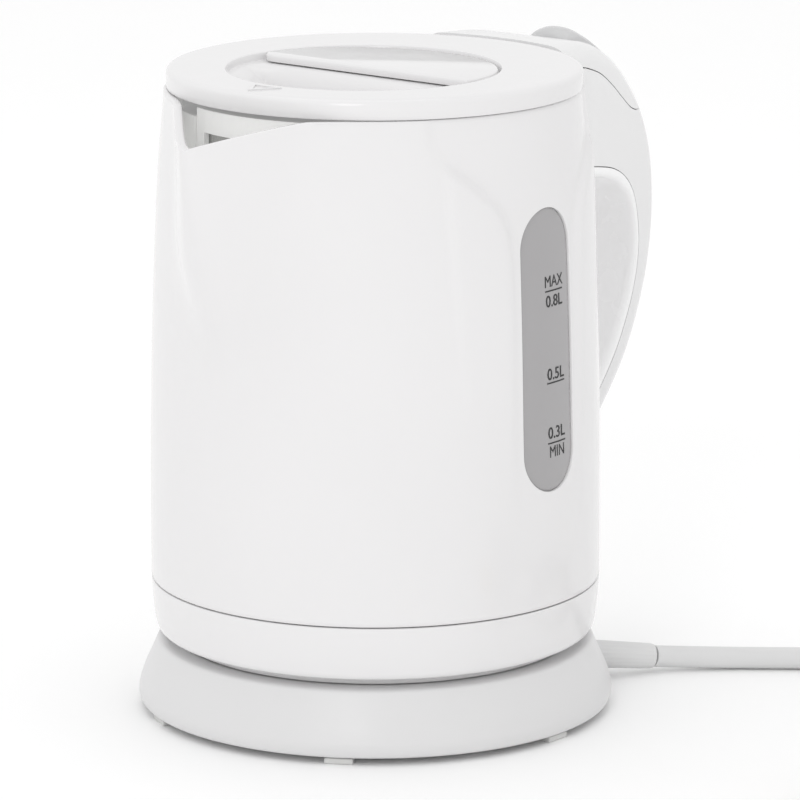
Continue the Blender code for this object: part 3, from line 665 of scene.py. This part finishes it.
def build_jug_body():
    """The wall, as an outer and an inner grid, with a hole in both for the window."""
    stops = ((0, 0.25), (5, 0.6), (10, 1.2), (30, 1.5), (45, 0.8), (62, 1.1), (67, 1.5), (113, 1.1))
    half = spaced((*stops, (118, 0.8), (135, 2), (180, 2)))
    angles = [math.radians(a) for a in half[:-1]]
    angles += [math.pi] + [-a for a in reversed(angles[1:])]
    block = [i for i, a in enumerate(angles) if 67 < math.degrees(a) < 113]
    low = SEAM_LOW
    shares = [i / 90 for i in range(91)]
    heights = [low + share * (SEAM_LID - low) for share in shares]
    rows = [k for k, z in enumerate(heights) if 0.0585 < z < 0.163]

    def place(i, k, inset):
        height = low + shares[k] * (rim_height(angles[i]) - low)
        return jug_point(angles[i], height, inset)

    bm = bmesh.new()
    walls = []
    for inset in (0.0, WALL):
        grid = [[None] * len(angles) for _ in shares]
        for k in range(len(shares)):
            for i in range(len(angles)):
                inside_block = block[0] < i < block[-1] and rows[0] < k < rows[-1]
                if not inside_block:
                    grid[k][i] = bm.verts.new(place(i, k, inset))
        look = 1 if inset else 0
        for one, two in zip(grid, grid[1:]):
            bridge(bm, one, two, look)
        border = [(i, rows[0]) for i in block[:-1]]
        border += [(block[-1], k) for k in rows[:-1]]
        border += [(i, rows[-1]) for i in reversed(block[1:])]
        border += [(block[0], k) for k in reversed(rows[1:])]
        loop = [grid[k][i] for i, k in border]
        places = [(angles[i], heights[k]) for i, k in border]
        edge = WINDOW_HALF_WIDTH + 0.00015
        widest = 0.0 if inset else 0.00028
        rings = [(mix(1, 0, step / 16), 0.0, widest) for step in range(1, 17)]
        if not inset:
            rings += [(0, 0.00003, 0.00012), (0, 0.00012, 0.00003), (0, 0.00030, 0.0)]
        for share, deep, wider in rings:
            ring = []
            for angle, height in places:
                to_angle, to_height = outline_point(angle, height, edge + wider)
                a, z = mix(to_angle, angle, share), mix(to_height, height, share)
                ring.append(bm.verts.new(jug_point(a, z, inset + deep)))
            bridge(bm, loop, ring, look)
            loop = ring
        walls.append((grid, loop))
    (outer, outer_hole), (inner, inner_hole) = walls
    bridge(bm, outer_hole, inner_hole)
    rounding = 0.0003
    for k, side in ((0, -1), (len(shares) - 1, 1)):
        loop = outer[k]
        for inset, up in ((0.0002, 0.00018), (0.0005, 0.0003), (0.0017, 0.0003), (0.0020, 0.00018)):
            ring = []
            for i, angle in enumerate(angles):
                point = place(i, k, inset)
                point.z += side * (up - rounding)
                ring.append(bm.verts.new(point))
            bridge(bm, loop, ring)
            loop = ring
        bridge(bm, loop, inner[k])
        for vert in outer[k] + inner[k]:
            vert.co.z -= side * rounding
    body = add_mesh("jug_wall", bm, GLOSS_WHITE, "jug", 50)
    # The inner faces take the glowing inner material, a painted light that lifts their shade.
    body.data.materials.append(INNER_PAINTED_GLOW)
    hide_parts("jug_body")


def build_spout_walls():
    """The wall on either side of the spout's filter, which closes the jug's inside to it."""
    low, high = 0.1180, 0.1736
    for name, side in (("spout_wall_near", 1), ("spout_wall_far", -1)):
        sections = []
        for step in range(25):
            degrees = mix(23.4, 50, step / 24)
            radius = 0.0546 + 0.0032 * smooth_step((degrees - 34) / 15)
            beyond = radius + 0.0010
            corners = ((radius, low), (beyond, low), (beyond, high), (radius, high))
            turn = math.pi + side * math.radians(degrees)
            sections.append([round_point(turn, r, height) for r, height in corners])
        bm = bmesh.new()
        lofted(bm, sections)
        # The spout's walls take the glowing inner material too: painted light.
        add_mesh(name, bm, INNER_PAINTED_GLOW, "jug")


def on_pane(across, height, proud):
    """A place on the window's pane, `proud` of its outer face."""
    angle = math.radians(90) + across / WINDOW_ARC
    return jug_point(angle, height, WINDOW_SUNK - proud)


def close_spine(obj):
    """Closes the slit that is left along the pane's spine on both faces."""
    bm = bmesh.new()
    bm.from_mesh(obj.data)
    edges = [e for e in bm.edges if e.is_boundary]
    if edges:
        bmesh.ops.contextual_create(bm, geom=edges)
    bm.to_mesh(obj.data)
    bm.free()


def build_window():
    """The curved pane, sunk a little into the wall, with a rounded edge."""
    outline = []
    for middle, start in ((SPINE_HIGH, 0.0), (SPINE_LOW, math.pi)):
        for i in range(25):
            angle = start + i * math.pi / 24
            outline.append((math.cos(angle), middle, math.sin(angle)))
        if start == 0.0:
            outline += [(-1, mix(SPINE_HIGH, SPINE_LOW, i / 24), 0) for i in range(1, 24)]
    outline += [(1, mix(SPINE_LOW, SPINE_HIGH, i / 24), 0) for i in range(1, 24)]
    bm = bmesh.new()
    thick = 0.0012
    inside = [(radius, thick) for radius in (0.0, 0.35, 0.7, 0.97, 1.0)]
    outside = [(0.0, 0.0), (0.35, 0.0), (0.7, 0.0), (0.95, 0.0), (0.985, 0.00005), (1.0, 0.0002)]
    loop = None
    for share, deep in outside + inside[::-1]:
        ring = []
        for x, middle, z in outline:
            across = x * share * WINDOW_HALF_WIDTH
            height = middle + z * share * WINDOW_HALF_WIDTH
            ring.append(bm.verts.new(on_pane(across, height, -deep)))
        if loop:
            bridge(bm, loop, ring)
        loop = ring
    bmesh.ops.remove_doubles(bm, verts=bm.verts, dist=0.000002)
    pane = add_mesh("window_pane", bm, WINDOW_GREY, "jug")
    close_spine(pane)
    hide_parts("water_window")


def gauge_text(text, size):
    """Flat lettering as a mesh, centred on its own x = 0."""
    curve = bpy.data.curves.new("mark", "FONT")
    curve.body = text
    curve.size = size
    curve.align_x = "CENTER"
    curve.extrude = 0.00003
    curve.offset = 0.00005 if text[0].isdigit() else 0.0
    curve.resolution_u = 3
    obj = bpy.data.objects.new("mark", curve)
    bpy.context.scene.collection.objects.link(obj)
    bpy.context.view_layer.update()
    graph = bpy.context.evaluated_depsgraph_get()
    mesh = bpy.data.meshes.new_from_object(obj.evaluated_get(graph))
    bpy.data.objects.remove(obj)
    return mesh


MARK_ACROSS = 0.0033
LINE_HALF_LENGTH = 0.0042
LINE_HALF_WIDTH = 0.0002


def gauge_line(bm, height):
    """A printed line across the pane, bent with it."""
    sections = []
    for step in range(-8, 9):
        across = MARK_ACROSS + step / 8 * LINE_HALF_LENGTH
        low, high = height - LINE_HALF_WIDTH, height + LINE_HALF_WIDTH
        corners = ((low, 0.00001), (low, 0.00007), (high, 0.00007), (high, 0.00001))
        sections.append([on_pane(across, z, proud) for z, proud in corners])
    lofted(bm, sections)


def build_gauge():
    """The gauge's lines, litre numbers and end words, as printed ink on the pane."""
    bm = bmesh.new()
    marks = (
        ("MAX", 0.1281, 0.92),
        ("0.8L", 0.1226, 1.05),
        ("0.5L", 0.1022, 1.05),
        ("0.3L", 0.0857, 1.05),
        ("MIN", 0.0804, 0.90),
    )
    for text, height, wide in marks:
        part = bmesh.new()
        part.from_mesh(gauge_text(text, 0.0046))
        bmesh.ops.triangulate(part, faces=part.faces)
        for vert in part.verts:
            x, y, z = vert.co
            vert.co = on_pane(MARK_ACROSS + x * wide, height + y, 0.00004 + z)
        holder = bpy.data.meshes.new("mark")
        part.to_mesh(holder)
        part.free()
        bm.from_mesh(holder)
    for height in (0.1270, 0.1013, 0.0844):
        gauge_line(bm, height)
    add_mesh("gauge_marks", bm, INK, "jug")


def build_bottom_cover():
    """The cover under the jug, with a low ring below it and an open well in its middle."""
    cover = turned(
        "lower_cover",
        (
            (0.0636, SEAM_LOW - GAP, 0.0004),
            (0.0633, 0.0325, 0.003),
            (0.0627, 0.0268, 0.003),
            (0.0617, 0.0228, 0.0035),
            (0.0570, 0.0226, 0.0005),
            (0.0563, 0.0205, 0.0003),
            (0.0512, 0.0205, 0.0003),
            (0.0504, 0.0226, 0.0005),
            (0.0224, 0.0226, 0.0004),
            (0.0224, 0.0340, 0.0003),
            (0.0244, 0.0340, 0.0003),
            (0.0244, 0.0248, 0.0005),
            (0.0598, 0.0248, 0.0020),
            (0.0611, 0.0300, 0.0020),
            (0.0612, SEAM_LOW - GAP, 0.0003),
        ),
        GLOSS_WHITE,
        "jug",
        224,
    )
    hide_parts("bottom_cover")


def build_base():
    """The base's cover, with the mouth that the cord's sleeve comes out of."""
    base = turned(
        "base_cover",
        (
            (0.0600, 0.0202, 0.0006),
            (0.0618, 0.0199, 0.0016),
            (0.0634, 0.0160, 0.0040),
            (0.0662, 0.0100, 0.0040),
            (0.0676, 0.0050, 0.0040),
            (0.0668, 0.0020, 0.0012),
            (0.0644, 0.0020, 0.0003),
            (0.0650, 0.0050, 0.0020),
            (0.0636, 0.0098, 0.0030),
            (0.0609, 0.0158, 0.0030),
            (0.0599, 0.0178, 0.0008),
            (0.0494, 0.0178, 0.0008),
            (0.0482, 0.0146, 0.0008),
            (0.0190, 0.0146, 0.0004),
            (0.0190, 0.0104, 0.0003),
            (0.0164, 0.0104, 0.0003),
            (0.0164, 0.0184, 0.0004),
            (0.0207, 0.0184, 0.0010),
            (0.0220, 0.0166, 0.0008),
            (0.0476, 0.0166, 0.0010),
            (0.0492, 0.0202, 0.0006),
        ),
        BASE_WHITE,
        None,
        224,
    )
    bm = bmesh.new()
    turn = SLEEVE_AXIS.to_track_quat("Z", "Y").to_matrix().to_4x4()
    bmesh.ops.create_cone(
        bm, cap_ends=True, segments=48, radius1=0.0047, radius2=0.0047, depth=0.043
    )
    bm.transform(Matrix.Translation(SLEEVE_START + SLEEVE_AXIS.normalized() * 0.0185) @ turn)
    cutter = add_mesh("mouth_cutter", bm, None)
    cut_and_apply(base, cutter)
    bpy.data.objects.remove(cutter)
    finish_piece(base, "power_base", "satin_white_plastic", "base_shell", sharp_degrees=40)


build_jug_body()
build_spout_walls()
build_window()
build_gauge()
build_bottom_cover()
build_base()


# ---------------------------------------------------------------- handle


def handle_stations():
    """The inner point, the way outwards, the thickness and half the width along the handle."""
    rows = [Vector((ox, oz, ix, iz, w)) for (ox, oz), (ix, iz), w in HANDLE]
    for ox, oz, ix, iz, half_width in smooth_route(rows, 5):
        inner = Vector((ix, 0, iz))
        across = Vector((ox, 0, oz)) - inner
        yield inner, across.normalized(), across.length, half_width


def corner(middle_t, middle_w, radius, start):
    """A quarter turn of (t, w) points from the angle `start`, clockwise."""
    pieces = 8
    points = []
    for i in range(pieces + 1):
        angle = start - i * math.pi / 2 / pieces
        point = middle_t + radius * math.sin(angle), middle_w + radius * math.cos(angle)
        points.append(point)
    return points


def shell_section(thickness, half_width):
    """A channel, open towards the jug, with round outer corners."""
    start = GRIP_THICKNESS + GAP
    radius = min(HANDLE_CORNER, (thickness - start) * 0.8)
    t, w = thickness - radius, half_width - radius
    outer = corner(t, -w, radius, math.pi) + corner(t, w, radius, math.pi / 2)
    inner = corner(t, -w, radius - WALL, math.pi) + corner(t, w, radius - WALL, math.pi / 2)
    face = half_width - WALL
    ends = [(start, half_width), (start, face)], [(start, -face), (start, -half_width)]
    return outer + ends[0] + inner[::-1] + ends[1]


def insert_section(half_width):
    """The flat strip that closes the channel, with round edges towards the jug."""
    radius = GRIP_THICKNESS * 0.8
    w = half_width - radius
    edges = corner(radius, w, radius, 0) + corner(radius, -w, radius, -math.pi / 2)
    return [(GRIP_THICKNESS, -half_width), (GRIP_THICKNESS, half_width)] + edges


def handle_loft(name, section_of, material=HANDLE_WHITE):
    """A piece with `section_of`'s (t, w) section at each of the handle's stations."""
    sections = []
    for inner, out, thickness, half_width in handle_stations():
        flat = section_of(thickness, half_width)
        sections.append([inner + out * t + Vector((0, w, 0)) for t, w in flat])
    bm = bmesh.new()
    lofted(bm, sections)
    return add_mesh(name, bm, material)


def jug_clearance():
    """The jug and lid grown by the gap, to trim what stands against them."""
    side = [(radius + GAP, height, 0) for height, radius in reversed(JUG_WALL)]
    top = [(0, 0.2100, 0), (LID_RADIUS + 0.0005, 0.2100, 0), (LID_RADIUS + 0.0005, 0.1779, 0)]
    bottom = [(JUG_WALL[0][1] + GAP, 0.0250, 0), (0, 0.0250, 0)]
    return turned("trim", top + side + bottom, None, None, 256)


def top_cover_region(name, drop):
    """All that is above the top cover's seam, which this lowers by 1.3 times `drop`."""
    seam = smooth_route([Vector((x, z - 1.3 * drop)) for x, z in TOP_SEAM], 4)
    outline = [(0.0500, 0.2000), *seam, (seam[-1].x, 0.2000)]
    bm = bmesh.new()
    lofted(bm, [[Vector((x, y, z)) for x, z in outline] for y in (-0.05, 0.05)])
    return add_mesh(name, bm, None)


def box_mesh(name, low, high):
    bm = bmesh.new()
    bmesh.ops.create_cube(bm, size=1)
    low, high = Vector(low), Vector(high)
    bmesh.ops.scale(bm, vec=high - low, verts=bm.verts)
    bmesh.ops.translate(bm, vec=(low + high) / 2, verts=bm.verts)
    return add_mesh(name, bm, None)


def build_handle():
    """The handle's shell, the cover over its seam and the strip that closes its inner side."""
    trim = jug_clearance()
    shell = handle_loft("handle_body", shell_section)
    cut_and_apply(shell, trim)
    under = top_cover_region("under_seam", 0.00025)
    cut_and_apply(shell, under)
    finish_piece(shell, "jug", "handle_white_plastic", "handle_shell")
    cover = handle_loft("handle_cap", shell_section)
    cut_and_apply(cover, trim)
    over = top_cover_region("over_seam", 0.0)
    cut_and_apply(cover, over, "INTERSECT")
    slot = box_mesh("slot", (0.0764, -0.0079, 0.1500), (0.1012, 0.0079, 0.2000))
    cut_and_apply(cover, slot)
    finish_piece(cover, "jug", "handle_white_plastic", "handle_top_cover")
    # The strip takes the glowing strip material, a painted light that lifts its shade.
    grip = handle_loft(
        "handle_inner_strip", lambda _, half_width: insert_section(half_width), STRIP_PAINTED_GLOW
    )
    cut_and_apply(grip, trim)
    finish_piece(grip, "jug", "handle_white_plastic", "handle_grip")
    for helper in (trim, under, over, slot):
        bpy.data.objects.remove(helper)


def build_head_front():
    """The curved wall that closes the handle's head towards the lid."""
    (_, top), _, half_width = HANDLE[0]
    flat, corner_radius = half_width - HANDLE_CORNER, 0.0057
    sections = []
    for step in range(-24, 25):
        y = step / 24 * 0.0248
        past = max(abs(y) - flat, 0.0)
        high = top - HANDLE_CORNER + math.sqrt(corner_radius**2 - past**2)
        corners = []
        for radius in (LID_RADIUS + 0.0006, LID_RADIUS + 0.0018):
            x = math.sqrt(radius**2 - y**2)
            corners += [Vector((x, y, 0.1772)), Vector((x, y, high))]
        sections.append([corners[0], corners[1], corners[3], corners[2]])
    bm = bmesh.new()
    lofted(bm, sections)
    add_mesh("head_front_wall", bm, HANDLE_WHITE, "jug")


def build_slot_floor():
    """The wall under the rocker's low end, which closes the handle's inside to the slot."""
    line = [(0.0942, 0.1695), (0.0962, 0.1681), (0.1042, 0.1593)]
    section = line + [(x - 0.0006, z - 0.0005) for x, z in reversed(line)]
    bm = bmesh.new()
    lofted(bm, [[Vector((x, y, z)) for x, z in section] for y in (-0.0105, 0.0105)])
    add_mesh("switch_slot_floor", bm, HANDLE_WHITE, "jug")


def build_rocker():
    """The switch rocker: its side outline carried across, with a crown and soft edges."""
    flat = filleted([(x, z, 0.0016) for x, z in ROCKER], 4)
    middle = sum(flat, Vector((0, 0))) / len(flat)
    crown_from = 0.1745
    sections = []
    half = [(ROCKER_HALF_WIDTH, 0.0007), (0.00705, 0.0003), (0.0068, 0.0001)]
    half += [(0.0064 * (1 - i / 12), 0.0) for i in range(12)]
    across = half + [(0.0, 0.0)] + [(-y, inset) for y, inset in reversed(half)]
    for y, inset in across:
        crown = 0.0022 * abs(y / ROCKER_HALF_WIDTH) ** 2.4
        ring = []
        for p in flat:
            inwards = (middle - p).normalized() * inset
            raised = max(p.y - crown_from, 0) / (ROCKER_TOP - crown_from)
            ring.append(Vector((p.x + inwards.x, -y, p.y + inwards.y - crown * raised)))
        sections.append(ring)
    bm = bmesh.new()
    lofted(bm, sections)
    rocker = add_mesh("rocker", bm, SMOKE_GREY)
    finish_piece(rocker, "switch", "smoky_grey_plastic", "switch_rocker")


build_handle()
build_head_front()
build_slot_floor()
build_rocker()


# ---------------------------------------------------------------- lid


def lid_dip(x, y, wider=0.0):
    """How far the lid's top lies below its rim: a round recess with a deep scoop in it."""
    inside = RECESS_RADIUS - math.hypot(x - RECESS_X, y) + wider
    shallow = RECESS_DEPTH * smooth_step(inside / RECESS_WALL)
    over_lobe = min(max((GRIP_EDGE_X - 0.0002 - x) / 0.0062, 0.0), 1.0)
    lobe = 1 - math.sqrt(1 - over_lobe**2 * 0.985)
    full_lobe = 0.8775
    towards_end = 0.22 + 0.78 * smooth_step((y + 0.0320) / 0.0520)
    bowl = smooth_step(inside / 0.0150)
    return shallow + SCOOP_DEPTH * lobe / full_lobe * towards_end * bowl


def lid_row(radius, drop=0.0, wider=0.0):
    """A ring of the lid's surface. The rings' middle goes from the recess's to the lid's."""
    share = (radius - RECESS_RADIUS) / (LID_RADIUS - LID_WALL - RECESS_RADIUS)
    middle = RECESS_X * (1 - min(max(share, 0), 1))
    row = []
    for i in range(LID_STEPS):
        point = round_point(i * math.tau / LID_STEPS, radius, LID_TOP - drop)
        point.x += middle
        dip = lid_dip(point.x, point.y, wider)
        row.append(point - Vector((0, 0, dip)))
    return row


def build_lid_cover():
    """The lid's upper side from its middle outwards, then its edge and its under side."""
    floor = [0.0005 + i * 0.0006 for i in range(62)]
    recess_wall = [0.03778, 0.03786, 0.0380, 0.0382, 0.0384, 0.03854, RECESS_RADIUS]
    flat = [0.0390, 0.0400, 0.0440, 0.0480, 0.0520, 0.0550, 0.0562]
    rows = [lid_row(radius) for radius in floor + recess_wall + flat]
    for radius, drop in (
        (0.0568, 0.00005), (0.0573, 0.0002), (0.0577, 0.0005), (0.0580, 0.0009),
        (0.05815, 0.0014), (LID_RADIUS, 0.0021), (LID_RADIUS, 0.0053), (0.0581, 0.0055),
    ):
        rows.append(lid_row(radius, drop))
    rows += [lid_row(0.0562, drop) for drop in (0.0055, 0.0036, LID_WALL)]
    for radius in reversed(floor[::3] + [0.0378, 0.0386, 0.0400, 0.0550]):
        rows.append(lid_row(radius, LID_WALL, 0.0012))
    bm = bmesh.new()
    lofted(bm, rows)
    cover = add_mesh("lid_top", bm, GLOSS_WHITE, "lid", 50)
    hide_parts("lid_cover")


def grip_outline(inset):
    """A half round, `inset` inside the grip's full outline."""
    radius = RECESS_RADIUS - 0.0011
    corner_x = GRIP_EDGE_X + GRIP_CORNER
    reach = radius - GRIP_CORNER
    corner_y = math.sqrt(reach**2 - (corner_x - RECESS_X) ** 2)
    stop = math.atan2(corner_y, corner_x - RECESS_X)
    small = 0.0012
    small_x = GRIP_EDGE_X + small
    small_y = -math.sqrt((radius - small) ** 2 - (small_x - RECESS_X) ** 2)
    start = math.atan2(small_y, small_x - RECESS_X)
    outline = []
    for middle, rounding, angles in (
        ((RECESS_X, 0), radius, (start, stop, 120)),
        ((corner_x, corner_y), GRIP_CORNER, (stop, math.pi, 20)),
        ((small_x, small_y), small, (-math.pi, start, 8)),
    ):
        for i in range(angles[2] + 1):
            angle = mix(angles[0], angles[1], i / angles[2])
            x = middle[0] + (rounding - inset) * math.cos(angle)
            outline.append((x, middle[1] + (rounding - inset) * math.sin(angle)))
        if rounding == GRIP_CORNER:
            above, below = outline[-1], (GRIP_EDGE_X + inset, small_y)
            outline += [
                (mix(above[0], below[0], i / 60), mix(above[1], below[1], i / 60))
                for i in range(1, 60)
            ]
    return outline


def build_lid_grip():
    """The half-round plate. Its straight edge stands over the scoop."""
    under = LID_TOP - RECESS_DEPTH + GAP
    sections = []
    for inset, up in ((0.0004, 0.0), (0.0001, 0.0001), (0.0, 0.0004)):
        sections.append([Vector((x, y, under + up)) for x, y in grip_outline(inset)])
    for inset, down in ((0.0, 0.0007), (0.0001, 0.00035), (0.0003, 0.00012), (0.0006, 0.0)):
        sections.append([
            Vector((x, y, LID_TOP + GRIP_RISE - down - GRIP_SLOPE * (x - GRIP_EDGE_X)))
            for x, y in grip_outline(inset)
        ])
    bm = bmesh.new()
    lofted(bm, sections)
    grip = add_mesh("lid_half_plate", bm, GLOSS_WHITE, "lid", 40)
    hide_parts("lid_grip")


def build_pour_mark():
    """A plain raised triangle on the lid's rim that points to the spout."""
    bm = bmesh.new()
    rings = []
    for inset, height in ((0.0, -0.0001), (0.0, 0.00035), (0.0009, 0.00035), (0.0009, -0.0001)):
        corners = ((-0.0548 + inset * 2.1, 0), (-0.0464 - inset, 0.0050 - inset * 1.6))
        corners = (*corners, (corners[1][0], -corners[1][1]))
        rings.append([bm.verts.new(Vector((x, y, LID_TOP + height))) for x, y in corners])
    for one, two in zip(rings, rings[1:] + rings[:1]):
        bridge(bm, one, two)
    add_mesh("pour_mark", bm, GLOSS_WHITE, "lid", 20)


build_lid_cover()
build_lid_grip()
build_pour_mark()


# ---------------------------------------------------------------- what the frame gives

NODE_LOOKS = {
    BASE_WHITE: ("base_plate",),
    FOOT_GREY: tuple(f"foot_{i}" for i in range(1, 7)),
    STEEL: (
        "base_screw_1", "base_screw_2", "base_screw_3", "heating_plate",
        "plate_clamp_ring", "boil_dry_disc", "steam_bimetal_disc", "filter_mesh",
    ),
    ALUMINIUM: ("heat_spreader", "heating_element"),
    BRASS: (
        "socket_earth_contact", "socket_inner_contact", "socket_outer_contact", "earth_pin",
        "inner_ring_contact", "outer_ring_contact", "contact_arm", "plug_pin_1", "plug_pin_2",
    ),
    BLACK_NYLON: ("base_socket", "jug_connector", "thermostat_control", "steam_switch_housing"),
    SEAL_GREY: ("plate_seal",),
    CORD_WHITE: ("cord_sleeve", "plug_body", "switch_wires"),
    # The inner pieces take the glowing inner material: painted light.
    INNER_PAINTED_GLOW: ("lid_pan", "filter_frame", "steam_duct"),
    WINDOW_GREY: ("indicator_lamp",),
}
for look, names in NODE_LOOKS.items():
    for name in names:
        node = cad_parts[name]
        node.data.materials.clear()
        node.data.materials.append(look)
